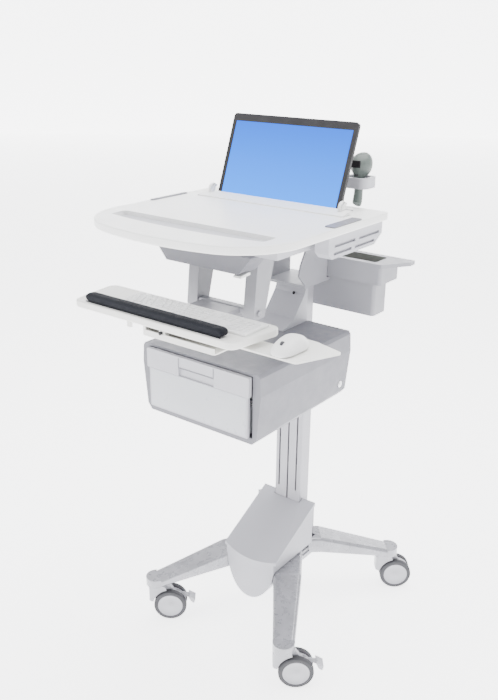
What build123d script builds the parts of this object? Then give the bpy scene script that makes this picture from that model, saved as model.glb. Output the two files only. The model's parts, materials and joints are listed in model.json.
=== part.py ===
"""Medication cart: sit-stand worksurface, laptop bay, keyboard tray, drawer, bin and X-base on casters.

Millimetres, +Z up. X is to the right as seen from the front, Y is to the back, and the origin lies on
the floor under the column's axis. The lift is modelled at the top of its travel.
"""

import os
from math import cos, radians, sin, tan

from build123d import *

os.makedirs("parts", exist_ok=True)

# ---------------------------------------------------------------- driving dimensions
gap = 1.0  # clearance between neighbouring rigid pieces that don't touch
running = 0.05  # radial clearance of a shaft in its hole

# column
riser_width = 94.0
riser_depth = 50.0
riser_wall = 3.0
riser_bottom = 176.0
riser_top = 760.0
slot_width = 5.0
slot_pitch = 31.0
side_slot_foot = 384.0
middle_slot_foot = 340.0
mast_inset = 3.0  # mast's outside to the riser's inside
mast_wall = 3.0
mast_bottom = 470.0
mast_top = 1045.0
bushing_height = 30.0
spring_radius = 11.0
spring_wall = 1.8
spring_top = 500.0
rod_radius = 4.0

# base
stem_x = 235.0
front_stem_y = -364.0
rear_stem_y = 209.0
leg_tip_bottom = 119.0
leg_tip_top = 145.0
leg_tip_width = 62.0
leg_overhang = 8.0  # from the stem to the centre of the leg's round end
leg_rise = 219.0  # how far in from the stem the leg reaches its full height
leg_root_width = 84.0
leg_root_bottom = 152.0
leg_root_top = 206.0
leg_edge = 10.0
hub_half_x = 72.0
hub_front = -88.0
hub_rear = 76.0
foot_half_x = 68.0
foot_half_y = 42.0
foot_thickness = 12.0
foot_bolt_x = 57.0
foot_bolt_y = 33.0
bolt_radius = 4.0
bolt_length = 10.0
hood_half_width = 95.0
hood_front = -229.0
hood_side_front = -211.0
hood_front_z = 238.0
hood_slope = 0.54
hood_lip = 10.0
bowl_top = 225.0
bowl_bottom = 95.0
bowl_half_width = 88.0
cover_left = 128.0
cover_right = 46.0
cover_corner = 10.0
cover_front = -8.0
cover_rear = 72.0
cover_rear_z = 290.0
cover_bottom = 212.0
cover_top = 322.0
cover_wall = 4.0

# casters
wheel_radius = 50.0
hub_radius = 38.0
wheel_width = 19.0
wheel_inner = 8.0
caster_trail = 35.0
stem_radius = 6.0
axle_radius = 5.0
fender_radius = 46.0
stem_top = 140.0
fork_top = leg_tip_bottom - gap
caster_heading = 38.0  # degrees from +X that the wheels trail at rest
pedal_x = 62.0
pedal_z = 80.0
pedal_pin_radius = 2.5

# worksurface
top_height = 1277.0
top_thickness = 20.0
top_half_width = 284.0
top_rear = -26.0
top_front = -599.0
top_bow = 62.0
top_corner = 168.0
recess_half_width = 232.0
recess_rear = -434.0
recess_front = -505.0
recess_bow = 21.0
recess_depth = 10.0
finger_slot = 26.0
lid_slot_half_width = 208.0
lid_slot_front = -150.0
lid_slot_rear = -70.0

# laptop and its bay
bay_half_width = 207.0
bay_front = -398.0
bay_rear = -24.0
bay_bottom = 1214.0
bay_wall = 3.0
pod_inner = 226.0
pod_outer = 264.0
pod_front = -274.0
pod_bottom = 1198.0
laptop_half_width = 194.0
laptop_depth = 252.0
laptop_thickness = 24.0
laptop_feet = 6.0
lid_length = 255.0
lid_thickness = 9.0
lid_hinge_y = -133.0
lid_hinge_z = 1247.0
lid_lean = 20.0
bezel_side = 12.0
bezel_top = 20.0
screen_depth = 1.0
ledge_half_width = 230.0
seat_depth = 1.0

# drawer housing
housing_front = -432.0
housing_rear = -21.0
housing_bottom = 752.0
housing_top = 940.0
drawer_half_width = 155.0
drawer_bottom = 775.0
drawer_top = 925.0
drawer_wall = 2.5
drawer_rear = -60.0
drawer_front_y = -445.0
drawer_front_half = 166.5
rail_bottom = 845.0
rail_height = 30.0
rail_thickness = 6.5
lock_y = -54.0
lock_z = 792.0
lock_radius = 9.0

# keyboard arms and trays
arm_inner = 74.0
arm_width = 34.0
arm_pivot_y = -300.0
arm_pivot_z = 1190.0
arm_foot_y = -331.0
arm_foot_z = 1052.0
shaft_radius = 5.0
tilt_y = -440.0
tilt_z = 1057.0
tilt_pin_radius = 4.0
tray_front = -609.0
tray_rear = -455.0
tray_bottom = 1068.0
tray_top = 1086.0
tray_half_front = 246.0
tray_half_rear = 268.0
palm_half_width = 213.0
palm_front = -602.0
palm_rear = -575.0
palm_height = 22.0
keyboard_left = -150.0
keyboard_right = 242.0
keyboard_front = -560.0
keyboard_rear = -470.0
keyboard_height = 8.0
pocket_left = -20.0
pocket_right = 196.0
pocket_front = -606.0
pocket_rear = -480.0
pocket_bottom = 1046.0
pocket_wall = 3.0
knob_x = 42.0
knob_z = 1063.5
knob_radius = 4.2
mouse_tray_top = 1055.0
mouse_tray_thickness = 4.0
mouse_x = 318.0
mouse_y = -500.0
mouse_length = 105.0
mouse_width = 62.0
mouse_height = 33.0

# bin and scanner
bin_left = -6.0
bin_right = 209.0
bin_front = 62.0
bin_rear = 133.0
bin_bottom = 963.0
bin_top = 1116.0
bin_wall = 2.5
rim_left = -20.0
rim_right = 232.0
rim_front = 47.0
rim_rear = 150.0
rim_drop = 58.0
lip_reach = 48.0
lip_thickness = 10.0
scanner_x = 160.0
scanner_y = 26.0
scanner_grip = 14.0
holder_bottom = 1318.0
holder_top = 1345.0
scanner_top = 1402.0

# ---------------------------------------------------------------- worked-out values
riser_half_x = riser_width / 2
riser_half_y = riser_depth / 2
bore_half_x = riser_half_x - riser_wall
bore_half_y = riser_half_y - riser_wall
mast_half_x = bore_half_x - mast_inset
mast_half_y = bore_half_y - mast_inset
top_underside = top_height - top_thickness
plate_top = mast_top + 8.0
foot_bottom = riser_bottom - foot_thickness
wheel_outer = wheel_inner + wheel_width
arm_outer = arm_inner + arm_width
hood_rear = cover_front - gap
hood_rear_z = hood_front_z + hood_slope * (hood_rear - hood_front)
CORNERS = {
    "fl": (-stem_x, front_stem_y),
    "fr": (stem_x, front_stem_y),
    "rl": (-stem_x, rear_stem_y),
    "rr": (stem_x, rear_stem_y),
}


# ---------------------------------------------------------------- helpers
def save(part, name):
    """Labels a finished piece and writes it."""
    part.label = name
    export_step(part, f"parts/{name}.step")


def block(x0, x1, y0, y1, z0, z1, corner=0.0, mode=Mode.ADD):
    """A block between two corners, with its upright edges rounded, in the part being built."""
    with BuildSketch(Plane.XY.offset(z0)) as outline:
        with Locations(((x0 + x1) / 2, (y0 + y1) / 2)):
            if corner:
                RectangleRounded(x1 - x0, y1 - y0, corner)
            else:
                Rectangle(x1 - x0, y1 - y0)
    extrude(outline.sketch, amount=z1 - z0, mode=mode)


def prism(plane, points, amount, corner=0.0, mode=Mode.ADD):
    """A prism over a polygon drawn on a plane, with its corners rounded."""
    with BuildSketch(plane) as outline:
        with BuildLine():
            Polyline(*points, close=True)
        make_face()
        if corner:
            fillet(outline.vertices(), corner)
    extrude(outline.sketch, amount=amount, mode=mode)


def rod(plane, radius, amount, centre=(0, 0), mode=Mode.ADD):
    """A round bar, or a round hole, along a plane's normal."""
    with BuildSketch(plane) as outline:
        with Locations(centre):
            Circle(radius)
    extrude(outline.sketch, amount=amount, mode=mode)


def across(x0):
    """The plane square to X at x0: its own axes are Y and Z, and it faces +X."""
    return Plane.YZ.offset(x0)


def along(y0):
    """The plane square to Y at y0: its own axes are X and Z, and it faces -Y."""
    return Plane.XZ.offset(-y0)


def both_sides(x0, x1):
    """The same span on the right and on the left."""
    return ((x0, x1), (-x1, -x0))


# ---------------------------------------------------------------- base
def leg(stem, spare=0.0, mode=Mode.ADD):
    """One leg of the X: it rises from its caster, then runs level to the hub; spare makes it larger."""
    length = (stem[0] ** 2 + stem[1] ** 2) ** 0.5
    out = (stem[0] / length, stem[1] / length, 0)
    tip = Plane(origin=(*stem, 0), x_dir=(-out[1], out[0], 0), z_dir=out)
    with BuildSketch(tip.offset(-leg_rise)) as root_section:
        with Locations((0, (leg_root_bottom + leg_root_top) / 2)):
            RectangleRounded(leg_root_width + 2 * spare, leg_root_top - leg_root_bottom + 2 * spare,
                             leg_edge + spare)
    with BuildSketch(tip) as tip_section:
        with Locations((0, (leg_tip_bottom + leg_tip_top) / 2)):
            RectangleRounded(leg_tip_width + 2 * spare, leg_tip_top - leg_tip_bottom + 2 * spare,
                             leg_edge + spare)
    extrude(root_section.sketch, amount=leg_rise - length, mode=mode)
    loft([root_section.sketch, tip_section.sketch], mode=mode)
    with BuildSketch(Plane.XY.offset(leg_tip_bottom)) as end:
        with BuildLine():
            side = leg_tip_width / 2
            near = (stem[0] + out[1] * side, stem[1] - out[0] * side)
            far = (stem[0] - out[1] * side, stem[1] + out[0] * side)
            reach = (out[0] * leg_overhang, out[1] * leg_overhang)
            Line(near, (near[0] + reach[0], near[1] + reach[1]))
            ThreePointArc((near[0] + reach[0], near[1] + reach[1]),
                          (stem[0] + reach[0] + out[0] * side, stem[1] + reach[1] + out[1] * side),
                          (far[0] + reach[0], far[1] + reach[1]))
            Polyline((far[0] + reach[0], far[1] + reach[1]), far, near)
        make_face()
    extrude(end.sketch, amount=leg_tip_top - leg_tip_bottom, mode=mode)


with BuildPart() as base_frame:
    for stem in CORNERS.values():
        leg(stem)
    block(-hub_half_x, hub_half_x, hub_front, hub_rear, foot_bottom - 14, foot_bottom)
    for stem in CORNERS.values():
        rod(Plane.XY.offset(leg_tip_bottom), stem_radius + running,
            stem_top + gap - leg_tip_bottom, stem, mode=Mode.SUBTRACT)
    # pocket that seats the riser's foot plate
    block(-foot_half_x - gap, foot_half_x + gap, -foot_half_y - gap, foot_half_y + gap,
          foot_bottom, leg_root_top + 1, mode=Mode.SUBTRACT)
    with Locations(Plane.XY.offset(foot_bottom)):
        with GridLocations(2 * foot_bolt_x, 2 * foot_bolt_y, 2, 2):
            Hole(bolt_radius + running, depth=bolt_length)
save(base_frame.part, "base_frame")

with BuildPart() as riser_foot:
    block(-foot_half_x, foot_half_x, -foot_half_y, foot_half_y, foot_bottom, riser_bottom, corner=8)
    with Locations(Plane.XY.offset(riser_bottom)):
        with GridLocations(2 * foot_bolt_x, 2 * foot_bolt_y, 2, 2):
            Hole(bolt_radius + 6 * running, depth=foot_thickness)
save(riser_foot.part, "riser_foot")

with BuildPart() as riser_bolts:
    with BuildSketch(Plane.XY.offset(foot_bottom - bolt_length)) as shanks:
        with GridLocations(2 * foot_bolt_x, 2 * foot_bolt_y, 2, 2):
            Circle(bolt_radius)
    extrude(amount=bolt_length + foot_thickness)
    with BuildSketch(Plane.XY.offset(riser_bottom)) as heads:
        with GridLocations(2 * foot_bolt_x, 2 * foot_bolt_y, 2, 2):
            RegularPolygon(bolt_radius * 1.8, 6)
    extrude(amount=bolt_radius * 1.6)
save(riser_bolts.part, "riser_bolts")


def hood_plan(height, half_width, rear, side_front, front):
    """The hood's outline at one height: straight sides and rear, and a bowed front."""
    with BuildSketch(Plane.XY.offset(height)) as plan:
        with BuildLine():
            Polyline((half_width, side_front), (half_width, rear), (-half_width, rear),
                     (-half_width, side_front))
            ThreePointArc((-half_width, side_front), (0, front), (half_width, side_front))
        make_face()
    return plan.sketch


def under_lid(drop, half_width, rear, front):
    """The space under the sloping lid, from its own depth down to the legs' tops."""
    points = [(front, cover_bottom), (rear, cover_bottom), (rear, hood_rear_z - drop),
              (front, hood_rear_z - drop + hood_slope * (front - rear))]
    prism(across(-half_width), points, 2 * half_width, mode=Mode.INTERSECT)


with BuildPart() as bowl:
    with BuildSketch(along(hub_front - 2 * gap)) as bowl_profile:
        with Locations((0, bowl_top)):
            Ellipse(bowl_half_width, bowl_top - bowl_bottom)
    extrude(amount=hub_front - 2 * gap - hood_front)
    extrude(hood_plan(bowl_bottom, bowl_half_width, hub_front - 2 * gap, hood_side_front, hood_front + 7),
            amount=bowl_top - bowl_bottom + gap, mode=Mode.INTERSECT)

with BuildPart() as base_hood:
    extrude(hood_plan(cover_bottom, hood_half_width, hood_rear, hood_side_front, hood_front),
            amount=hood_rear_z - cover_bottom)
    under_lid(0, hood_half_width, hood_rear, hood_front)
    # below the lid the sides step in, and the box is hollow to the legs
    for x0, x1 in both_sides(bowl_half_width, hood_half_width + gap):
        prism(across(x0), [(hood_front - gap, cover_bottom - gap), (hood_rear + gap, cover_bottom - gap),
                           (hood_rear + gap, hood_rear_z - hood_lip + hood_slope * gap),
                           (hood_front - gap, hood_front_z - hood_lip - hood_slope * gap)],
              x1 - x0, mode=Mode.SUBTRACT)
    prism(across(-bowl_half_width + cover_wall),
          [(hood_side_front + cover_wall, cover_bottom - gap), (hood_rear + gap, cover_bottom - gap),
           (hood_rear + gap, hood_rear_z - hood_lip),
           (hood_side_front + cover_wall, hood_front_z - hood_lip)],
          2 * (bowl_half_width - cover_wall), mode=Mode.SUBTRACT)
    block(-riser_half_x - gap, riser_half_x + gap, -riser_half_y - gap, hood_rear + gap,
          cover_bottom - gap, hood_rear_z + gap, mode=Mode.SUBTRACT)
    # bowl between the front legs
    add(bowl.part)
    for stem in (CORNERS["fl"], CORNERS["fr"]):
        leg(stem, spare=2 * gap, mode=Mode.SUBTRACT)
save(base_hood.part, "base_hood")

with BuildPart() as base_rear_cover:
    prism(across(-cover_left), [(cover_front, cover_bottom), (cover_rear, cover_bottom),
                                (cover_rear, cover_rear_z), (cover_front, cover_top)],
          cover_left + cover_right)
    fillet(base_rear_cover.edges().filter_by(Axis.Z), cover_corner)
    block(-riser_half_x - gap, riser_half_x + gap, cover_front - gap, riser_half_y + gap,
          cover_bottom - gap, cover_top + gap, mode=Mode.SUBTRACT)
    # hollow beside the column and behind it
    inner_rear = cover_rear - cover_wall
    inner_left = cover_wall - cover_left
    inner_top = cover_rear_z - cover_wall
    block(inner_left, -riser_half_x - gap - cover_wall, cover_front + cover_wall, inner_rear,
          cover_bottom - gap, inner_top, corner=4, mode=Mode.SUBTRACT)
    block(inner_left, cover_right - cover_wall, riser_half_y + gap + cover_wall, inner_rear,
          cover_bottom - gap, inner_top, corner=4, mode=Mode.SUBTRACT)
save(base_rear_cover.part, "base_rear_cover")

# ---------------------------------------------------------------- column
with BuildPart() as riser:
    block(-riser_half_x, riser_half_x, -riser_half_y, riser_half_y, riser_bottom, riser_top, corner=6)
    block(-bore_half_x, bore_half_x, -bore_half_y, bore_half_y, riser_bottom, riser_top, corner=3,
          mode=Mode.SUBTRACT)
    for x, foot in ((-slot_pitch, side_slot_foot), (0, middle_slot_foot), (slot_pitch, side_slot_foot)):
        block(x - slot_width / 2, x + slot_width / 2, -riser_half_y - gap, -bore_half_y + gap,
              foot, riser_top, mode=Mode.SUBTRACT)
save(riser.part, "riser")

bushing_slack = 6 * running
with BuildPart() as riser_bushing:
    bushing_foot = riser_top - bushing_height
    block(-bore_half_x, bore_half_x, -bore_half_y, bore_half_y, bushing_foot, riser_top, corner=3)
    block(-mast_half_x - bushing_slack, mast_half_x + bushing_slack, -mast_half_y - bushing_slack,
          mast_half_y + bushing_slack, bushing_foot, riser_top, corner=4, mode=Mode.SUBTRACT)
    slot_edge = slot_pitch + slot_width / 2
    block(-slot_edge, slot_edge, -bore_half_y - gap, -mast_half_y + gap, bushing_foot, riser_top,
          mode=Mode.SUBTRACT)
save(riser_bushing.part, "riser_bushing")

with BuildPart() as mast:
    block(-mast_half_x, mast_half_x, -mast_half_y, mast_half_y, mast_bottom, mast_top, corner=4)
    block(-mast_half_x + mast_wall, mast_half_x - mast_wall, -mast_half_y + mast_wall,
          mast_half_y - mast_wall, mast_bottom, mast_top - mast_wall, corner=2, mode=Mode.SUBTRACT)
save(mast.part, "mast")

spring_bore = spring_radius - spring_wall
with BuildPart() as gas_spring_cylinder:
    rod(Plane.XY.offset(riser_bottom), spring_radius, spring_top - riser_bottom)
    rod(Plane.XY.offset(riser_bottom + 6), spring_bore, spring_top - riser_bottom - 12,
        mode=Mode.SUBTRACT)
    rod(Plane.XY.offset(spring_top - 7), rod_radius + running, 8, mode=Mode.SUBTRACT)
save(gas_spring_cylinder.part, "gas_spring_cylinder")

with BuildPart() as gas_spring_rod:
    rod(Plane.XY.offset(mast_bottom + 10), rod_radius, mast_top - mast_wall - mast_bottom - 10)
    rod(Plane.XY.offset(mast_bottom + 6), spring_bore - 4 * running, 10)
save(gas_spring_rod.part, "gas_spring_rod")


# ---------------------------------------------------------------- casters
def caster_place(corner):
    """Where a caster stands: at its stem, trailing along the heading."""
    turn = radians(caster_heading)
    return Plane(origin=(*CORNERS[corner], 0), x_dir=(cos(turn), sin(turn), 0), z_dir=(0, 0, 1)).location


def caster_fork(corner, braked):
    """Stem, shroud ahead of the twin wheels, and the fender between them that holds the axle."""
    hub = (caster_trail, wheel_radius)
    web = wheel_inner - 0.8
    shroud = wheel_outer - 6 * gap
    arch = [(-30, 64), (-30, fork_top - 8), (-22, fork_top), (14, fork_top), (22, fork_top - 8), hub]
    with BuildPart() as fork:
        with BuildSketch(Plane.XZ.offset(-shroud)) as shroud_profile:
            with BuildLine():
                Polyline(*arch, close=True)
            make_face()
            with Locations(hub):
                Circle(wheel_radius + 3, mode=Mode.SUBTRACT)
        extrude(amount=2 * shroud)
        fillet(fork.edges().filter_by(Axis.Z), 8)
        with BuildSketch(Plane.XZ.offset(-web)) as fender:
            with Locations(hub):
                Circle(fender_radius)
            with BuildLine():
                Polyline((-26, fork_top - 14), (30, fork_top - 2), (caster_trail + 22, wheel_radius + 30),
                         hub, (-26, 70), close=True)
            make_face()
        extrude(amount=2 * web)
        rod(Plane.XY.offset(fork_top - 8), 16, 8)
        rod(Plane.XY.offset(fork_top - 2), stem_radius, stem_top - fork_top + 2)
        rod(Plane.XZ.offset(-web - gap), axle_radius + running, 2 * web + 2 * gap, hub,
            mode=Mode.SUBTRACT)
        if braked:
            rod(Plane.XZ.offset(-web - gap), pedal_pin_radius + running, 2 * web + 2 * gap,
                (pedal_x, pedal_z), mode=Mode.SUBTRACT)
            block(pedal_x - 9, pedal_x + 40, -3.4, 3.4, 50, 104, mode=Mode.SUBTRACT)
    save(fork.part.moved(caster_place(corner)), f"caster_fork_{corner}")


def caster_wheels(corner):
    """The axle with both hub discs, and the two tyres on them."""
    hub = (caster_trail, wheel_radius)
    with BuildPart() as core:
        rod(Plane.XZ.offset(-wheel_outer), axle_radius, 2 * wheel_outer, hub)
        for y0 in (-wheel_outer, wheel_inner):
            rod(Plane.XZ.offset(y0), hub_radius, wheel_width, hub)
    save(core.part.moved(caster_place(corner)), f"caster_core_{corner}")
    with BuildPart() as tyres:
        for y0 in (-wheel_outer, wheel_inner):
            rod(Plane.XZ.offset(y0), wheel_radius, wheel_width, hub)
        fillet(tyres.edges().filter_by(GeomType.CIRCLE), 5)
        rod(Plane.XZ.offset(-wheel_outer - gap), hub_radius, 2 * wheel_outer + 2 * gap, hub,
            mode=Mode.SUBTRACT)
    save(tyres.part.moved(caster_place(corner)), f"caster_tyres_{corner}")


def brake_pedal(corner):
    """A tread outside the wheels on an arm that pivots in the fork."""
    tread = [(88, 80), (112, 66), (108, 52), (98, 60)]
    with BuildPart() as pedal:
        prism(Plane.XZ.offset(-3), [(pedal_x - 5, pedal_z - 3), (pedal_x - 3, pedal_z + 5),
                                    (96, 79), (100, 62), (pedal_x + 6, pedal_z - 6)], 6, corner=1.5)
        prism(Plane.XZ.offset(-16), tread, 32, corner=1.5)
        rod(Plane.XZ.offset(-wheel_inner + 0.8), pedal_pin_radius, 2 * wheel_inner - 1.6,
            (pedal_x, pedal_z))
    save(pedal.part.moved(caster_place(corner)), f"brake_pedal_{corner}")


for corner in CORNERS:
    caster_fork(corner, braked=corner.startswith("f"))
    caster_wheels(corner)
for corner in ("fl", "fr"):
    brake_pedal(corner)

# ---------------------------------------------------------------- head of the column
with BuildPart() as head_bracket:
    plate_half_x = 65.0
    plate_rear = 60.0
    block(-plate_half_x, plate_half_x, -64, plate_rear, mast_top, plate_top)
    gusset = [(44, plate_top), (44, 1100), (bay_rear, bay_bottom), (-75, bay_bottom), (-60, 1160),
              (-88, 1112), (-95, 1085), (-64, plate_top)]
    for x0, x1 in both_sides(plate_half_x - 5, plate_half_x):
        prism(across(x0), gusset, x1 - x0)
    block(-plate_half_x, plate_half_x, -75, bay_rear, bay_bottom - 5, bay_bottom)
save(head_bracket.part, "head_bracket")

# ---------------------------------------------------------------- drawer housing
shell = [(184, housing_top), (190, 932), (193, 885), (181, 768), (168, housing_bottom)]
outline = shell + [(-x, z) for x, z in reversed(shell)]
notch_half_x = 52.0
bracket_front = -29.0
cavity_top = drawer_top + 8
cavity_bottom = drawer_bottom - 6
cavity_half_x = drawer_front_half + 2.5
rail_side = cavity_half_x - rail_thickness
with BuildPart() as drawer_housing:
    prism(along(housing_rear), outline, housing_rear - housing_front)
    fillet(drawer_housing.edges().filter_by(Axis.Y), 4)
    block(-cavity_half_x, cavity_half_x, housing_front - gap, housing_rear - 20, cavity_bottom,
          cavity_top, mode=Mode.SUBTRACT)
    block(-notch_half_x, notch_half_x, bracket_front, 0, housing_bottom - gap, housing_top + gap,
          mode=Mode.SUBTRACT)
    rod(across(cavity_half_x - gap), lock_radius, 30, (lock_y, lock_z), mode=Mode.SUBTRACT)
save(drawer_housing.part, "drawer_housing")

with BuildPart() as lock_body:
    rod(across(cavity_half_x), lock_radius, 16, (lock_y, lock_z))
    rod(across(cavity_half_x - gap), lock_radius - 3.5, 20, (lock_y, lock_z), mode=Mode.SUBTRACT)
save(lock_body.part, "lock_body")

with BuildPart() as lock_cylinder:
    rod(across(cavity_half_x - 2), lock_radius - 3.5 - running, 19, (lock_y, lock_z))
    keyway_face = cavity_half_x + 17
    block(keyway_face - 3, keyway_face + gap, lock_y - 0.8, lock_y + 0.8, lock_z - 3.5, lock_z + 3.5,
          mode=Mode.SUBTRACT)
    # cam that turns behind the drawer's back edge
    block(cavity_half_x - 4, cavity_half_x - 2, lock_y - 4, lock_y + 4, lock_z - 4, lock_z + 11)
save(lock_cylinder.part, "lock_cylinder")

with BuildPart() as drawer_bracket:
    bracket_foot = drawer_bottom
    bracket_top = 930.0
    web_half = slot_width / 2 - 0.7
    block(-40, 40, bracket_front, -riser_half_y - gap, bracket_foot, bracket_top)
    for x in (-slot_pitch, slot_pitch):
        block(x - web_half, x + web_half, -riser_half_y - gap, -mast_half_y, bracket_foot, bracket_top)
save(drawer_bracket.part, "drawer_bracket")

with BuildPart() as drawer_mount_cover:
    wedge_half_x = 50.0
    wedge_rear = bracket_front + 2
    wedge = [(-144, housing_top), (wedge_rear, housing_top), (wedge_rear, 1036), (-36, 1036),
             (-43, 1020), (-91, 962), (-119, 950), (-144, 942)]
    prism(across(-wedge_half_x), wedge, 2 * wedge_half_x)
    rod(Plane(origin=(18, -43, 1019), z_dir=(0, -1, 0.4)), 4, 6)
save(drawer_mount_cover.part, "drawer_mount_cover")

with BuildPart() as drawer_rails:
    for x0, x1 in both_sides(rail_side, cavity_half_x):
        block(x0, x1, housing_front + 8, drawer_rear - 4, rail_bottom, rail_bottom + rail_height)
        # groove that the runner slides in
    for x0, x1 in both_sides(rail_side - gap, rail_side + 3.5):
        block(x0, x1, housing_front, drawer_rear, rail_bottom + 6, rail_bottom + rail_height - 6,
              mode=Mode.SUBTRACT)
save(drawer_rails.part, "drawer_rails")

with BuildPart() as drawer_box:
    block(-drawer_half_width, drawer_half_width, housing_front - 2, drawer_rear, drawer_bottom, drawer_top)
    block(-drawer_half_width + drawer_wall, drawer_half_width - drawer_wall,
          housing_front - 2 + drawer_wall, drawer_rear - drawer_wall, drawer_bottom + drawer_wall,
          drawer_top + gap, mode=Mode.SUBTRACT)
save(drawer_box.part, "drawer_box")

with BuildPart() as drawer_front:
    front_foot = cavity_bottom + gap
    front_head = cavity_top - gap
    band_foot = drawer_top - 45
    panel_half = drawer_front_half - 5
    prism(along(housing_front - 2), [(-panel_half, front_foot), (panel_half, front_foot),
                                     (panel_half, band_foot + 9), (-panel_half, band_foot + 9)],
          housing_front - 5 - drawer_front_y, corner=3)
    prism(along(housing_front - 2), [(-drawer_front_half, band_foot), (drawer_front_half, band_foot),
                                     (drawer_front_half, front_head), (-drawer_front_half, front_head)],
          housing_front - 2 - drawer_front_y, corner=3)
    # finger pull, open below
    block(-58, 58, drawer_front_y - gap, drawer_front_y + 7, band_foot - gap, band_foot + 22,
          mode=Mode.SUBTRACT)
save(drawer_front.part, "drawer_front")

with BuildPart() as drawer_runners:
    runner_foot = rail_bottom + 6 + gap
    runner_head = rail_bottom + rail_height - 6 - gap
    for x0, x1 in both_sides(drawer_half_width, rail_side + 2.5):
        block(x0, x1, housing_front + 4, drawer_rear - 6, runner_foot, runner_head)
save(drawer_runners.part, "drawer_runners")


# ---------------------------------------------------------------- worksurface and laptop bay
def bowed(half_width, rear, side_front, front, height, amount, corner, mode=Mode.ADD):
    """A slab with a straight rear edge and a front edge that bows forward."""
    with BuildSketch(Plane.XY.offset(height)) as plan:
        with BuildLine():
            Polyline((half_width, side_front), (half_width, rear), (-half_width, rear),
                     (-half_width, side_front))
            ThreePointArc((-half_width, side_front), (0, front), (half_width, side_front))
        make_face()
        fillet(plan.vertices().group_by(Axis.Y)[0], corner)
        fillet(plan.vertices().group_by(Axis.Y)[-1], min(corner, 15))
    extrude(plan.sketch, amount=amount, mode=mode)


strip_plans = ((252, 280, -279, -154), (-280, -268, -299, -159))
holder_foot = (128, 142, -40, -10)
ledge_foot = lid_slot_front - 14
ledge_head_z = top_height + 11
ledge_head_y = lid_hinge_y + (ledge_head_z - lid_hinge_z) * tan(radians(lid_lean)) - 4
seat_floor = top_height - seat_depth

with BuildPart() as worksurface:
    bowed(top_half_width, top_rear, top_front + top_bow, top_front, top_underside, top_thickness,
          top_corner)
    fillet(worksurface.faces().sort_by(Axis.Z)[-1].edges(), 3)
    fillet(worksurface.faces().sort_by(Axis.Z)[0].edges(), 6)
    bowed(recess_half_width, recess_rear, recess_front + recess_bow, recess_front,
          top_height - recess_depth, recess_depth + gap, 10, mode=Mode.SUBTRACT)
    slot_half = recess_half_width - 12
    with BuildSketch(Plane.XY.offset(top_underside - gap)) as grip:
        with BuildLine():
            ThreePointArc((-slot_half, recess_front + recess_bow + 2), (0, recess_front + 2),
                          (slot_half, recess_front + recess_bow + 2))
            Line((slot_half, recess_front + recess_bow + 2),
                 (slot_half, recess_front + recess_bow + finger_slot))
            ThreePointArc((slot_half, recess_front + recess_bow + finger_slot),
                          (0, recess_front + finger_slot),
                          (-slot_half, recess_front + recess_bow + finger_slot))
            Line((-slot_half, recess_front + recess_bow + finger_slot),
                 (-slot_half, recess_front + recess_bow + 2))
        make_face()
        fillet(grip.vertices(), 8)
    extrude(amount=top_thickness + 2 * gap, mode=Mode.SUBTRACT)
    block(-lid_slot_half_width, lid_slot_half_width, lid_slot_front, lid_slot_rear, top_underside - gap,
          top_height + gap, corner=6, mode=Mode.SUBTRACT)
    # seats of the ledge, the strips and the scanner holder's post
    block(-ledge_half_width, ledge_half_width, ledge_foot, ledge_head_y + gap, seat_floor,
          top_height + gap, mode=Mode.SUBTRACT)
    for strip in strip_plans:
        block(*strip, seat_floor, top_height + gap, corner=5, mode=Mode.SUBTRACT)
    block(*holder_foot, seat_floor, top_height + gap, corner=4, mode=Mode.SUBTRACT)
save(worksurface.part, "worksurface")

with BuildPart() as side_strips:
    for strip in strip_plans:
        block(*strip, seat_floor, top_height + 2.5, corner=5)
save(side_strips.part, "side_strips")

with BuildPart() as laptop_ledge:
    prism(across(-ledge_half_width), [(ledge_foot, seat_floor), (lid_slot_front, seat_floor),
                                      (ledge_head_y, ledge_head_z - 3), (ledge_head_y, ledge_head_z),
                                      (ledge_foot, top_height + 3)], 2 * ledge_half_width)
    fillet(laptop_ledge.edges().filter_by(Axis.X).group_by(Axis.Z)[-1], 1)
save(laptop_ledge.part, "laptop_ledge")

for side, x0, x1 in (("left", -212, -200), ("right", 200, 212)):
    hook = [(ledge_head_y - 2, ledge_head_z + 1), (ledge_head_y - 16, ledge_head_z - 3),
            (ledge_head_y - 14, ledge_head_z + 8), (ledge_head_y - 2, ledge_head_z + 16),
            (ledge_head_y + 7, ledge_head_z + 16), (ledge_head_y + 7, ledge_head_z + 11),
            (ledge_head_y - 0.5, ledge_head_z + 10)]
    with BuildPart() as clip:
        prism(across(x0), hook, x1 - x0, corner=0.8)
    save(clip.part, f"laptop_clip_{side}")

with BuildPart() as laptop_bay:
    block(-bay_half_width, bay_half_width, bay_front, bay_rear, bay_bottom, top_underside)
    block(-bay_half_width + bay_wall, bay_half_width - bay_wall, bay_front + bay_wall, bay_rear - bay_wall,
          bay_bottom + bay_wall, top_underside + gap, mode=Mode.SUBTRACT)
    for x0, x1 in both_sides(pod_inner, pod_outer):
        pod = [(pod_front, 1212), (pod_front + 16, pod_bottom), (-60, pod_bottom), (bay_rear, 1222),
               (bay_rear, top_underside), (pod_front, top_underside)]
        prism(across(x0), pod, x1 - x0)
    for x0, x1 in both_sides(bay_half_width - gap, pod_inner + gap):
        block(x0, x1, pod_front, bay_rear, top_underside - 6, top_underside)
    # cooling slots in the pods' outer walls
    for x0, x1 in both_sides(pod_outer - 6, pod_outer + gap):
        for y0, y1, z in ((-248, -154, 1224), (-136, -38, 1224), (-250, -170, 1206), (-154, -60, 1206)):
            block(x0, x1, y0, y1, z, z + 7, mode=Mode.SUBTRACT)
save(laptop_bay.part, "laptop_bay")

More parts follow.
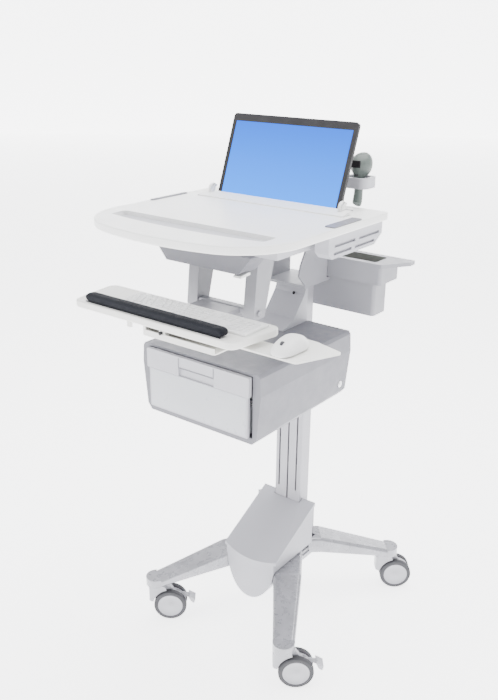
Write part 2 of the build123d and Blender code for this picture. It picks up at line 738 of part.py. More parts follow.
base_underside = lid_hinge_z - laptop_thickness
with BuildPart() as laptop_base:
    block(-laptop_half_width, laptop_half_width, lid_hinge_y - laptop_depth, lid_hinge_y - gap,
          base_underside, lid_hinge_z, corner=8)
    fillet(laptop_base.faces().sort_by(Axis.Z)[0].edges(), 5)
    with BuildSketch(Plane.XY.offset(base_underside - laptop_feet)) as feet:
        with Locations((0, lid_hinge_y - laptop_depth / 2)):
            with GridLocations(2 * laptop_half_width - 80, laptop_depth - 60, 2, 2):
                Circle(10)
    extrude(amount=laptop_feet + gap)
save(laptop_base.part, "laptop_base")

lean = radians(lid_lean)
# the lid's own plane: X across, Y up the lid, and it faces the user
lid_plane = Plane(origin=(0, lid_hinge_y, lid_hinge_z), x_dir=(1, 0, 0), z_dir=(0, -cos(lean), sin(lean)))
screen_half = laptop_half_width - bezel_side
screen_foot = 20.0
screen_middle = (0, (screen_foot + lid_length - bezel_top) / 2)
screen_tall = lid_length - bezel_top - screen_foot
with BuildPart() as laptop_lid:
    with BuildSketch(lid_plane.offset(-lid_thickness)) as lid_outline:
        with Locations((0, (lid_length + 2) / 2)):
            RectangleRounded(2 * laptop_half_width, lid_length - 2, 9)
    extrude(amount=lid_thickness)
    with BuildSketch(lid_plane) as screen_pocket:
        with Locations(screen_middle):
            Rectangle(2 * screen_half, screen_tall)
    extrude(amount=-screen_depth, mode=Mode.SUBTRACT)
save(laptop_lid.part, "laptop_lid")

with BuildPart() as laptop_screen:
    with BuildSketch(lid_plane.offset(-screen_depth)) as pane:
        with Locations(screen_middle):
            Rectangle(2 * screen_half, screen_tall)
    extrude(amount=screen_depth * 0.6)
save(laptop_screen.part, "laptop_screen")

# ---------------------------------------------------------------- keyboard arms
with BuildPart() as arm_housing:
    nose = [(-112, 1169), (112, 1169), (150, bay_bottom), (-150, bay_bottom)]
    prism(along(-352), nose, 67, corner=4)
    block(-arm_inner + 2, arm_inner - 2, -353, -100, 1169, bay_bottom)
    block(-arm_inner + 5, arm_inner - 5, -349, -104, 1172, bay_bottom - 3, mode=Mode.SUBTRACT)
    rod(across(-arm_inner), shaft_radius, 2 * arm_inner, (arm_pivot_y, arm_pivot_z), mode=Mode.SUBTRACT)
save(arm_housing.part, "arm_housing")

shaft_end = arm_outer + 4
with BuildPart() as arm_pivot_shaft:
    rod(across(-shaft_end), shaft_radius, 2 * shaft_end, (arm_pivot_y, arm_pivot_z))
save(arm_pivot_shaft.part, "arm_pivot_shaft")

arm_profile = [(-334, 1208), (-288, 1209), (-267, 1186), (-306, 1036), (-352, 1036)]
for side, x0 in (("left", -arm_outer), ("right", arm_inner)):
    with BuildPart() as arm:
        prism(across(x0), arm_profile, arm_width, corner=9)
        fillet(arm.edges().filter_by(Axis.X, reverse=True), 1.5)
        for y, z in ((arm_pivot_y, arm_pivot_z), (arm_foot_y, arm_foot_z)):
            rod(across(x0 - gap), shaft_radius + running, arm_width + 2 * gap, (y, z), mode=Mode.SUBTRACT)
    save(arm.part, f"keyboard_arm_{side}")

with BuildPart() as release_lever:
    prism(across(96), [(-417, 1160), (-415, 1165), (-388, 1168.5), (-380, 1168.5), (-380, 1162)], 22)
    fillet(release_lever.edges().filter_by(Axis.X), 1)
save(release_lever.part, "release_lever")

# ---------------------------------------------------------------- keyboard tray
with BuildPart() as tray_bracket:
    block(-60, 60, -448, arm_foot_y, 1047, 1060)
    prism(across(-arm_inner + 2), [(-346, 1043), (-318, 1043), (-318, 1062), (-346, 1062)],
          2 * arm_inner - 4, corner=5)
    rod(across(-shaft_end), shaft_radius, 2 * shaft_end, (arm_foot_y, arm_foot_z))
    rod(across(-70), tilt_pin_radius, 140, (tilt_y, tilt_z))
save(tray_bracket.part, "tray_bracket")

with BuildPart() as keyboard_tray:
    with BuildSketch(Plane.XY.offset(tray_bottom)) as tray_plan:
        with BuildLine():
            Polyline((-tray_half_front, tray_front), (tray_half_front, tray_front),
                     (tray_half_rear, tray_rear), (-tray_half_rear, tray_rear), close=True)
        make_face()
        fillet(tray_plan.vertices(), 22)
    extrude(amount=tray_top - tray_bottom)
    fillet(keyboard_tray.faces().sort_by(Axis.Z)[-1].edges(), 3)
    fillet(keyboard_tray.faces().sort_by(Axis.Z)[0].edges(), 5)
    lug = [(-475, tray_bottom + 1), (-432, tray_bottom + 1), (-432, 1050), (-462, 1050)]
    for x0, x1 in both_sides(62, 69):
        prism(across(x0), lug, x1 - x0)
    rod(across(-71), tilt_pin_radius + running, 142, (tilt_y, tilt_z), mode=Mode.SUBTRACT)
    # cable hook under the front edge
    block(-66, -54, tray_front + 2, tray_front + 8, 1056, tray_bottom + 1)
save(keyboard_tray.part, "keyboard_tray")

with BuildPart() as palm_rest:
    block(-palm_half_width, palm_half_width, palm_front, palm_rear, tray_top, tray_top + palm_height,
          corner=9)
    fillet(palm_rest.faces().sort_by(Axis.Z)[-1].edges(), 8)
save(palm_rest.part, "palm_rest")

with BuildPart() as keyboard:
    block(keyboard_left, keyboard_right, keyboard_front, keyboard_rear, tray_top,
          tray_top + keyboard_height, corner=5)
save(keyboard.part, "keyboard")

with BuildPart() as mouse_pocket:
    block(pocket_left, pocket_right, pocket_front, pocket_rear, pocket_bottom, tray_bottom, corner=8)
    block(pocket_left + pocket_wall, pocket_right + 9, pocket_front + pocket_wall, pocket_rear - pocket_wall,
          pocket_bottom + pocket_wall, tray_bottom + gap, mode=Mode.SUBTRACT)
    block(pocket_left + 12, pocket_right + gap, pocket_front - gap, pocket_front + 5, tray_bottom - 8,
          tray_bottom + gap, mode=Mode.SUBTRACT)
    # boss that carries the knob
    block(knob_x - 8, knob_x + 8, pocket_front + gap, pocket_front + 16, pocket_bottom + gap, tray_bottom)
    rod(along(pocket_front + 18), 2 + running, 22, (knob_x, knob_z), mode=Mode.SUBTRACT)
save(mouse_pocket.part, "mouse_pocket")

with BuildPart() as tray_knob:
    rod(along(pocket_front - 0.5), knob_radius, 6, (knob_x, knob_z))
    rod(along(pocket_front + 12), 2, 14, (knob_x, knob_z))
    fillet(tray_knob.edges().filter_by(GeomType.CIRCLE).group_by(Axis.Y)[0], 1)
save(tray_knob.part, "tray_knob")

with BuildPart() as mouse_tray:
    leaf = [(60, -548), (367, -548), (413, -438), (334, -415), (272, -412), (272, -486), (60, -486)]
    prism(Plane.XY.offset(mouse_tray_top - mouse_tray_thickness), leaf, mouse_tray_thickness, corner=9)
save(mouse_tray.part, "mouse_tray")

with BuildPart() as mouse:
    with BuildSketch(Plane.XY.offset(mouse_tray_top + 0.5)) as mouse_foot:
        with Locations((mouse_x, mouse_y)):
            Ellipse(mouse_width / 2, mouse_length / 2)
    extrude(amount=mouse_height, taper=12)
    fillet(mouse.edges().group_by(Axis.Z)[-1], 9)
save(mouse.part, "mouse")

# ---------------------------------------------------------------- bin and scanner
with BuildPart() as bin_bracket:
    block(0, 110, plate_rear - 4, plate_rear, plate_top, bin_top - 6)
save(bin_bracket.part, "bin_bracket")

with BuildPart() as waste_bin:
    # rim skirt, open below, with a lip that reaches out to the right at its rear
    block(rim_left, rim_right, rim_front, rim_rear, bin_top - rim_drop, bin_top, corner=9)
    lip_plan = [(rim_right - 20, rim_front), (rim_right, rim_front), (rim_right + lip_reach, rim_rear - 26),
                (rim_right + lip_reach, rim_rear), (rim_right - 20, rim_rear)]
    prism(Plane.XY.offset(bin_top - lip_thickness), lip_plan, lip_thickness, corner=4)
    block(rim_left + 3, rim_right - 3, rim_front + 3, rim_rear - 3, bin_top - rim_drop - gap, bin_top - 4,
          corner=7, mode=Mode.SUBTRACT)
    # body
    block(bin_left, bin_right, bin_front, bin_rear, bin_bottom, bin_top, corner=10)
    block(bin_left + bin_wall, bin_right - bin_wall, bin_front + bin_wall, bin_rear - bin_wall,
          bin_bottom + bin_wall, bin_top + gap, corner=8, mode=Mode.SUBTRACT)
save(waste_bin.part, "bin")

with BuildPart() as scanner_holder:
    block(*holder_foot, seat_floor, holder_top, corner=4)
    block(128, 142, -40, -4, holder_bottom, holder_top, corner=4)
    block(scanner_x - 36, scanner_x + 38, scanner_y - 34, scanner_y + 34, holder_bottom, holder_top,
          corner=20)
    block(scanner_x - 26, scanner_x + 28, scanner_y - 24, scanner_y + 24, holder_bottom - gap,
          holder_top + gap, corner=14, mode=Mode.SUBTRACT)
save(scanner_holder.part, "scanner_holder")

with BuildPart() as scanner:
    with BuildSketch(Plane.XY.offset(top_height - 5)) as grip_section:
        with Locations((scanner_x, scanner_y)):
            Circle(scanner_grip)
    extrude(amount=holder_top + gap - top_height + 6)
    block(scanner_x - 30, scanner_x + 32, scanner_y - 22, scanner_y + 40, holder_top + 0.5, scanner_top,
          corner=16)
    fillet(scanner.faces().sort_by(Axis.Z)[-1].edges(), 10)
save(scanner.part, "scanner")
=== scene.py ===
"""Medication cart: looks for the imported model. Metres, in the CAD frame: +Z up, the front faces -Y."""

import json
import math

import bmesh
import bpy
from mathutils import Matrix, Vector


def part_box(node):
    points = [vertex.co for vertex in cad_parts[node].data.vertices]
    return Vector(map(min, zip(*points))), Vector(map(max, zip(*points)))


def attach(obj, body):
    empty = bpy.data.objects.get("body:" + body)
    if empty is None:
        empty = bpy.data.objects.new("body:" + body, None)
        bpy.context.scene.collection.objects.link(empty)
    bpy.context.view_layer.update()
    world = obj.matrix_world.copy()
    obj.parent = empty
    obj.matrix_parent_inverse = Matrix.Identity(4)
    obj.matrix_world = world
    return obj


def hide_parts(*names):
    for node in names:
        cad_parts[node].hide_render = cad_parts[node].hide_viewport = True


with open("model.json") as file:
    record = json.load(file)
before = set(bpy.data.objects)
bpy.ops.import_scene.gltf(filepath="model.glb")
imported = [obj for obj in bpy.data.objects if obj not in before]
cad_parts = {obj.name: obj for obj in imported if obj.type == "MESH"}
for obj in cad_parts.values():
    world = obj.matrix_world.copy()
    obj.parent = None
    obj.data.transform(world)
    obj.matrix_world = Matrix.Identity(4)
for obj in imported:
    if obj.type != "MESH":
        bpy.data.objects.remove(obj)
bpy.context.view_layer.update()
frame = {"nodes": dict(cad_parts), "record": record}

MM = 0.001
SHARP = math.radians(32)
MIX_FACTOR, MIX_FIRST, MIX_SECOND = 0, 6, 7  # a colour Mix node's sockets
UP_AXIS = 2


# ---------------------------------------------------------------- materials
def node(tree, kind, **values):
    """Adds a shader node and sets its properties, and its inputs by name."""
    made = tree.nodes.new(kind)
    for key, value in values.items():
        if hasattr(made, key):
            setattr(made, key, value)
        else:
            made.inputs[key.replace("_", " ")].default_value = value
    return made


def material(name, colour, rough, metallic=0.0, grain=900.0, bump=0.12, mottle=0.03, mottle_scale=9.0,
             wear=0.05, stretch=(1, 1, 1), coat=0.0, sheen=0.0, spread=0.10, weave=0.0, gleam=0.5):
    """A surface with uneven colour, roughness in patches, a fine grain in relief and worn edges."""
    made = bpy.data.materials.new(name)
    made.use_nodes = True
    made.diffuse_color = (*colour, 1)
    tree = made.node_tree
    shader = tree.nodes["Principled BSDF"]
    shader.inputs["Metallic"].default_value = metallic
    shader.inputs["Specular IOR Level"].default_value = gleam
    shader.inputs["Coat Weight"].default_value = coat
    shader.inputs["Coat Roughness"].default_value = 0.25
    shader.inputs["Sheen Weight"].default_value = sheen
    link = tree.links.new
    place = node(tree, "ShaderNodeTexCoord")
    squeeze = node(tree, "ShaderNodeMapping")
    squeeze.inputs["Scale"].default_value = stretch
    link(place.outputs["Object"], squeeze.inputs["Vector"])
    # colour: broad mottling, then lighter worn edges
    patches = node(tree, "ShaderNodeTexNoise", Scale=mottle_scale, Detail=5.0, Roughness=0.6)
    link(place.outputs["Object"], patches.inputs["Vector"])
    shades = node(tree, "ShaderNodeValToRGB")
    low, high = shades.color_ramp.elements
    low.position, high.position = 0.3, 0.7
    low.color = (*[c * (1 - mottle) for c in colour], 1)
    high.color = (*[min(1, c * (1 + mottle)) for c in colour], 1)
    link(patches.outputs["Fac"], shades.inputs["Fac"])
    edges = node(tree, "ShaderNodeNewGeometry")
    worn = node(tree, "ShaderNodeMapRange")
    worn.inputs["From Min"].default_value = 0.53
    worn.inputs["From Max"].default_value = 0.62
    worn.inputs["To Max"].default_value = wear
    link(edges.outputs["Pointiness"], worn.inputs["Value"])
    tint = node(tree, "ShaderNodeMix", data_type="RGBA")
    tint.inputs[MIX_SECOND].default_value = (*[min(1, c * 1.35 + 0.03) for c in colour], 1)
    link(worn.outputs["Result"], tint.inputs[MIX_FACTOR])
    link(shades.outputs["Color"], tint.inputs[MIX_FIRST])
    link(tint.outputs[2], shader.inputs["Base Color"])
    # roughness: patches of handling
    smudge = node(tree, "ShaderNodeTexNoise", Scale=34.0, Detail=4.0, Roughness=0.65)
    link(squeeze.outputs["Vector"], smudge.inputs["Vector"])
    gloss = node(tree, "ShaderNodeMapRange")
    gloss.inputs["From Min"].default_value = 0.3
    gloss.inputs["From Max"].default_value = 0.7
    gloss.inputs["To Min"].default_value = max(0.02, rough - spread)
    gloss.inputs["To Max"].default_value = min(1, rough + spread)
    link(smudge.outputs["Fac"], gloss.inputs["Value"])
    link(gloss.outputs["Result"], shader.inputs["Roughness"])
    # relief: moulded or brushed grain, or a weave
    relief = node(tree, "ShaderNodeBump", Strength=bump, Distance=0.0004)
    if weave:
        warp = node(tree, "ShaderNodeTexWave", bands_direction="X", Scale=weave, Distortion=1.0)
        weft = node(tree, "ShaderNodeTexWave", bands_direction="Y", Scale=weave, Distortion=1.0)
        cross = node(tree, "ShaderNodeMath", operation="MULTIPLY")
        for source, socket in ((warp, 0), (weft, 1)):
            link(place.outputs["Object"], source.inputs["Vector"])
            link(source.outputs["Fac"], cross.inputs[socket])
        link(cross.outputs[0], relief.inputs["Height"])
    else:
        fine = node(tree, "ShaderNodeTexNoise", Scale=grain, Detail=3.0, Roughness=0.6)
        link(squeeze.outputs["Vector"], fine.inputs["Vector"])
        link(fine.outputs["Fac"], relief.inputs["Height"])
    link(relief.outputs["Normal"], shader.inputs["Normal"])
    return made


def grade(made, axis, low, high, low_colour, high_colour, glow=0.0):
    """Grades a material's colour along one axis between two heights, as on a lit screen."""
    tree = made.node_tree
    shader = tree.nodes["Principled BSDF"]
    place = node(tree, "ShaderNodeTexCoord")
    split = node(tree, "ShaderNodeSeparateXYZ")
    tree.links.new(place.outputs["Object"], split.inputs[0])
    span = node(tree, "ShaderNodeMapRange")
    span.inputs["From Min"].default_value = low
    span.inputs["From Max"].default_value = high
    tree.links.new(split.outputs[axis], span.inputs["Value"])
    ramp = node(tree, "ShaderNodeValToRGB")
    ramp.color_ramp.elements[0].color = (*low_colour, 1)
    ramp.color_ramp.elements[1].color = (*high_colour, 1)
    tree.links.new(span.outputs["Result"], ramp.inputs["Fac"])
    tree.links.new(ramp.outputs["Color"], shader.inputs["Emission Color"])
    shader.inputs["Emission Strength"].default_value = glow


WHITE = material("white_shell", (0.83, 0.83, 0.82), 0.42, wear=0.06, mottle=0.012, grain=1500, bump=0.06)
CREAM = material("cream_shell", (0.78, 0.775, 0.745), 0.44, wear=0.06, mottle=0.012, grain=1500, bump=0.06)
GREY = material("grey_shell", (0.165, 0.165, 0.188), 0.48, mottle=0.03, grain=1300, bump=0.16)
LIGHT = material("light_shell", (0.42, 0.42, 0.455), 0.46, mottle=0.025, grain=1300, bump=0.12)
# painted shade for the inside of the bin
BIN_SHADE = material("bin_shade_grey", (0.19, 0.195, 0.18), 0.52, mottle=0.05, grain=1200, bump=0.15)
CAST = material("cast_silver", (0.31, 0.31, 0.335), 0.30, metallic=0.35, mottle=0.14, mottle_scale=16,
                grain=420, bump=0.10, coat=0.4, spread=0.14)
ARM = material("arm_paint", (0.25, 0.25, 0.272), 0.40, mottle=0.03, grain=900, bump=0.10, coat=0.1)
ANODISED = material("anodised", (0.36, 0.356, 0.385), 0.36, metallic=0.30, grain=260, bump=0.10,
                    stretch=(14, 14, 0.25), mottle=0.03, mottle_scale=5)
PAINT = material("grey_paint", (0.27, 0.27, 0.295), 0.40, mottle=0.03, grain=700, bump=0.14, coat=0.15)
STEEL = material("steel", (0.56, 0.56, 0.57), 0.26, metallic=1.0, grain=300, bump=0.08, stretch=(1, 16, 16))
CHROME = material("chrome", (0.70, 0.70, 0.71), 0.12, metallic=1.0, grain=500, bump=0.03, spread=0.05)
BLACK = material("black_plastic", (0.016, 0.015, 0.017), 0.42, mottle=0.10, grain=1600, bump=0.16, wear=0.04,
                 gleam=0.22)
KEYCAP = material("keycap", (0.76, 0.76, 0.76), 0.46, mottle=0.012, grain=1800, bump=0.08, wear=0.10)
CLOTH = material("knit", (0.009, 0.010, 0.014), 0.86, mottle=0.15, sheen=0.06, weave=420, bump=0.5, wear=0.0,
                 gleam=0.15)
WHEEL = material("caster_plastic", (0.42, 0.42, 0.45), 0.40, mottle=0.03, grain=1100, bump=0.10)
TYRE = material("tyre", (0.060, 0.060, 0.066), 0.62, mottle=0.10, grain=900, bump=0.28, wear=0.12, gleam=0.3)
BIN = material("bin_plastic", (0.27, 0.27, 0.295), 0.44, mottle=0.03, grain=900, bump=0.10)
READER = material("reader_plastic", (0.095, 0.115, 0.105), 0.46, mottle=0.08, grain=1300, bump=0.18,
                  gleam=0.35)
DRAWER = material("drawer_plastic", (0.34, 0.35, 0.375), 0.42, mottle=0.04, grain=1000, bump=0.10)
PANEL = material("frosted_panel", (0.47, 0.485, 0.52), 0.34, mottle=0.03, grain=500, bump=0.05)
SCREEN = material("screen", (0.004, 0.008, 0.02), 0.30, mottle=0.01, grain=2400, bump=0.02, wear=0.0,
                  spread=0.04, gleam=0.04)
# painted shadow: the near-black that stands in for the shade inside the column's slots
SLOT_SHADOW = material("slot_shadow_black", (0.008, 0.008, 0.009), 0.7, mottle=0.2, grain=900, bump=0.1, wear=0.0,
                gleam=0.1)

screen_low, screen_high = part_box("laptop_screen")
grade(SCREEN, UP_AXIS, screen_low[UP_AXIS], screen_high[UP_AXIS],
      (0.0, 0.70, 3.2), (0.0, 0.33, 2.1), glow=1.0)

FINISH = {
    WHITE: ("worksurface", "laptop_ledge", "laptop_clip_left", "laptop_clip_right", "release_lever", "mouse",
            "keyboard"),
    CREAM: ("keyboard_tray", "mouse_pocket", "mouse_tray"),
    LIGHT: ("base_hood", "laptop_bay", "drawer_front", "drawer_mount_cover", "base_rear_cover",
            "scanner_holder"),
    GREY: ("drawer_housing", "arm_housing", "side_strips"),
    CAST: ("base_frame", "riser_foot"),
    ARM: ("keyboard_arm_left", "keyboard_arm_right"),
    ANODISED: ("riser", "mast"),
    PAINT: ("head_bracket", "tray_bracket", "drawer_bracket", "bin_bracket"),
    DRAWER: ("drawer_box",),
    BLACK: ("tray_knob", "laptop_base", "laptop_lid", "riser_bushing"),
    READER: ("scanner",),
    CLOTH: ("palm_rest",),
    STEEL: ("riser_bolts", "gas_spring_cylinder", "gas_spring_rod", "arm_pivot_shaft", "drawer_rails",
            "drawer_runners"),
    CHROME: ("lock_body", "lock_cylinder"),
    SCREEN: ("laptop_screen",),
    BIN: ("bin",),
    WHEEL: tuple(name for name in frame["nodes"] if name.startswith(("caster_fork", "caster_core", "brake"))),
    TYRE: tuple(name for name in frame["nodes"] if name.startswith("caster_tyres")),
}
for finish, names in FINISH.items():
    for name in names:
        part = frame["nodes"][name]
        if not part.material_slots:
            part.data.materials.append(finish)
        for place in part.material_slots:
            place.material = finish

# moulded and folded pieces get softened edges, as no real edge is a knife's
SOFT_EDGE = {
    "base_hood": 3.0, "base_rear_cover": 1.5, "drawer_housing": 1.2, "drawer_front": 1.2, "laptop_bay": 1.5,
    "arm_housing": 2.0, "drawer_mount_cover": 2.5, "head_bracket": 0.8, "keyboard_arm_left": 0.8,
    "keyboard_arm_right": 0.8, "laptop_ledge": 0.7, "bin": 1.0, "mouse_pocket": 0.8, "mouse_tray": 1.0,
    "side_strips": 0.6, "release_lever": 0.5, "laptop_base": 1.0, "laptop_lid": 1.0, "scanner_holder": 1.2,
    "drawer_box": 0.6, "laptop_clip_left": 0.8, "laptop_clip_right": 0.8, "bin_bracket": 0.8,
    "keyboard": 0.8, "tray_bracket": 0.8, "drawer_bracket": 0.6, "lock_body": 0.3, "palm_rest": 1.0,
    "brake_pedal_fl": 0.8, "brake_pedal_fr": 0.8, "caster_fork_fl": 1.0, "caster_fork_fr": 1.0,
    "caster_fork_rl": 1.0, "caster_fork_rr": 1.0,
}
for name, width in SOFT_EDGE.items():
    part = frame["nodes"][name]
    flatten = part.modifiers.new("flatten", "DECIMATE")
    flatten.decimate_type = "DISSOLVE"
    flatten.angle_limit = math.radians(1)
    soften = part.modifiers.new("soften", "BEVEL")
    soften.width = width * MM
    soften.segments = 3
    soften.limit_method = "ANGLE"
    soften.angle_limit = SHARP
    soften.harden_normals = True
    for face in part.data.polygons:
        face.use_smooth = True


# ---------------------------------------------------------------- mesh helpers
def finish_piece(name, mesh, finish, body, stands_for=(), level=0):
    """Turns a bmesh into a piece: smooth shading with sharp creases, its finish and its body."""
    data = bpy.data.meshes.new(name)
    bmesh.ops.recalc_face_normals(mesh, faces=mesh.faces)
    for edge in mesh.edges:
        if len(edge.link_faces) == 2 and edge.calc_face_angle() > SHARP and not level:
            edge.smooth = False
    mesh.to_mesh(data)
    mesh.free()
    for face in data.polygons:
        face.use_smooth = True
    made = bpy.data.objects.new(name, data)
    bpy.context.scene.collection.objects.link(made)
    data.materials.append(finish)
    if level:
        rounder = made.modifiers.new("rounder", "SUBSURF")
        rounder.levels = rounder.render_levels = level
    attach(made, body)
    if stands_for:
        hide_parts(*stands_for)
    return made


def add_box(mesh, low, high, edge, segments=3):
    """A box between two corners with rounded edges."""
    low, high = Vector(low), Vector(high)
    size = high - low
    move = Matrix.Translation((low + high) / 2) @ Matrix.Diagonal((*size, 1))
    made = bmesh.ops.create_cube(mesh, size=1, matrix=move)["verts"]
    around = list({e for v in made for e in v.link_edges})
    bmesh.ops.bevel(mesh, geom=around, offset=edge, segments=segments, profile=0.6, affect="EDGES",
                    clamp_overlap=True)


def add_lathe(mesh, centre, axis, profile, steps=48):
    """A turned shape: profile lists (radius, distance along the axis) from one end to the other."""
    axis = Vector(axis).normalized()
    side = axis.orthogonal().normalized()
    other = axis.cross(side)
    rings = []
    for radius, along in profile:
        middle = Vector(centre) + axis * along
        if radius < 1e-7:
            rings.append([mesh.verts.new(middle)])
            continue
        ring = []
        for step in range(steps):
            turn = 2 * math.pi * step / steps
            ring.append(mesh.verts.new(middle + radius * (side * math.cos(turn) + other * math.sin(turn))))
        rings.append(ring)
    for first, second in zip(rings, rings[1:]):
        for step in range(steps):
            after = (step + 1) % steps
            if len(first) == 1 and len(second) > 1:
                mesh.faces.new((first[0], second[step], second[after]))
            elif len(second) == 1 and len(first) > 1:
                mesh.faces.new((first[step], second[0], first[after]))
            elif len(first) > 1:
                mesh.faces.new((first[step], second[step], second[after], first[after]))


def add_outline(mesh, points, lift):
    """A plate: a closed outline of points, pushed along a vector."""
    face = mesh.faces.new([mesh.verts.new(p) for p in points])
    pushed = bmesh.ops.extrude_face_region(mesh, geom=[face])["geom"]
    top = [v for v in pushed if isinstance(v, bmesh.types.BMVert)]
    bmesh.ops.translate(mesh, vec=Vector(lift), verts=top)


def add_tube(mesh, path, sizes, steps=24):
    """A tube along a path: sizes gives each ring's half-width across and half-depth."""
    path = [Vector(p) for p in path]
    rings = []
    for i, point in enumerate(path):
        heading = (path[min(i + 1, len(path) - 1)] - path[max(i - 1, 0)]).normalized()
        side = Vector((1, 0, 0)) if abs(heading.x) < 0.9 else Vector((0, 1, 0))
        other = heading.cross(side).normalized()
        side = other.cross(heading)
        wide, deep = sizes[i]
        rings.append([mesh.verts.new(point + side * wide * math.cos(2 * math.pi * k / steps)
                                     + other * deep * math.sin(2 * math.pi * k / steps))
                      for k in range(steps)])
    for first, second in zip(rings, rings[1:]):
        for k in range(steps):
            after = (k + 1) % steps
            mesh.faces.new((first[k], second[k], second[after], first[after]))
    mesh.faces.new(rings[0])
    mesh.faces.new(rings[-1])


def arc(centre, radius, start, end, steps):
    """Points on an arc in a plane, angles in degrees."""
    return [(centre[0] + radius * math.cos(math.radians(start + (end - start) * i / steps)),
             centre[1] + radius * math.sin(math.radians(start + (end - start) * i / steps)))
            for i in range(steps + 1)]


def corner_box(name):
    """A CAD node's corners as two vectors."""
    low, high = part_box(name)
    return Vector(low), Vector(high)


JOINT = {joint["name"]: joint for joint in frame["record"]["behaviour"]["joints"]}


# ---------------------------------------------------------------- casters
def caster(tag):
    """Twin wheels with dished hub caps, and the tread's rubber."""
    hub = Vector(JOINT[f"roll_{tag}"]["pos_m"])
    axle = Vector(JOINT[f"roll_{tag}"]["axis"])
    wheels = f"wheels_{tag}"
    # rows are (radius, distance from the middle of the pair)
    tread = [(38, 8.2), (46.4, 8.2), (48.6, 9.2), (49.8, 11.4), (50, 14), (50, 16.9), (49.3, 17.3),
             (49.3, 17.7), (50, 18.1), (50, 21), (49.8, 23.6), (48.6, 25.8), (46.4, 26.8), (39.2, 26.8),
             (38, 26.2), (38, 8.2)]
    disc = [(0, 26.4), (9, 26.4), (10, 25.9), (24, 25.4), (33.6, 25.6), (34.6, 26.1), (36.6, 27.0),
            (37.6, 26.6), (38, 25.6), (38, 9.4), (36, 8.6), (12, 8.6), (11, 8.2), (0, 8.2)]
    rubber = bmesh.new()
    caps = bmesh.new()
    for side in (-1, 1):
        add_lathe(rubber, hub, axle * side, [(r * MM, d * MM) for r, d in tread], 72)
        add_lathe(caps, hub, axle * side, [(r * MM, d * MM) for r, d in disc], 72)
    add_lathe(caps, hub, axle, [(0, -0.010), (0.0045, -0.010), (0.0045, 0.010), (0, 0.010)], 24)
    finish_piece(f"tyre_{tag}", rubber, TYRE, wheels, [f"caster_tyres_{tag}"])
    finish_piece(f"wheel_caps_{tag}", caps, WHEEL, wheels, [f"caster_core_{tag}"])


for tag in ("fl", "fr", "rl", "rr"):
    caster(tag)


# ---------------------------------------------------------------- soft palm rest
def palm_rest():
    """A crowned foam pad under a knit cover, with a welt along its foot and rounded ends."""
    low, high = corner_box("palm_rest")
    length, depth, height = high - low
    pad = bmesh.new()
    rows, columns = 17, 61
    grid = []
    for i in range(columns):
        t = i / (columns - 1)
        x = low.x + length * t
        # the ends pull in, and the body breathes a little along its length
        end = min(1, math.sin(math.pi * min(t, 1 - t) / 0.05) if min(t, 1 - t) < 0.025 else 1)
        fat = (0.35 + 0.65 * end) * (1 + 0.012 * math.sin(x * 61) + 0.010 * math.sin(x * 143 + 1))
        ring = []
        for j in range(rows * 2):
            turn = 2 * math.pi * j / (rows * 2)
            flat = abs(math.cos(turn)) ** 0.62 * math.copysign(1, math.cos(turn))
            lift = abs(math.sin(turn)) ** 0.66 * math.copysign(1, math.sin(turn))
            y = (low.y + high.y) / 2 + flat * depth / 2 * (0.9 + 0.1 * end)
            z = low.z + height / 2 + lift * height / 2 * fat
            z = min(max(z, low.z + 0.0004), high.z + 0.0006)
            ring.append(pad.verts.new((x, y, z)))
        grid.append(ring)
    for first, second in zip(grid, grid[1:]):
        for j in range(rows * 2):
            after = (j + 1) % (rows * 2)
            pad.faces.new((first[j], second[j], second[after], first[after]))
    for ring in (grid[0], grid[-1]):
        pad.faces.new(ring)
    made = finish_piece("palm_pad", pad, CLOTH, "tray", ["palm_rest"], level=1)
    seam = bmesh.new()
    welt, foot, inset = 1.4 * MM, low.z + 2.2 * MM, 4 * MM
    add_box(seam, (low.x + inset, low.y - 0.2 * MM, foot - welt),
            (high.x - inset, low.y + 1.4 * MM, foot + welt), 0.9 * MM)
    finish_piece("palm_welt", seam, CLOTH, "tray")


palm_rest()


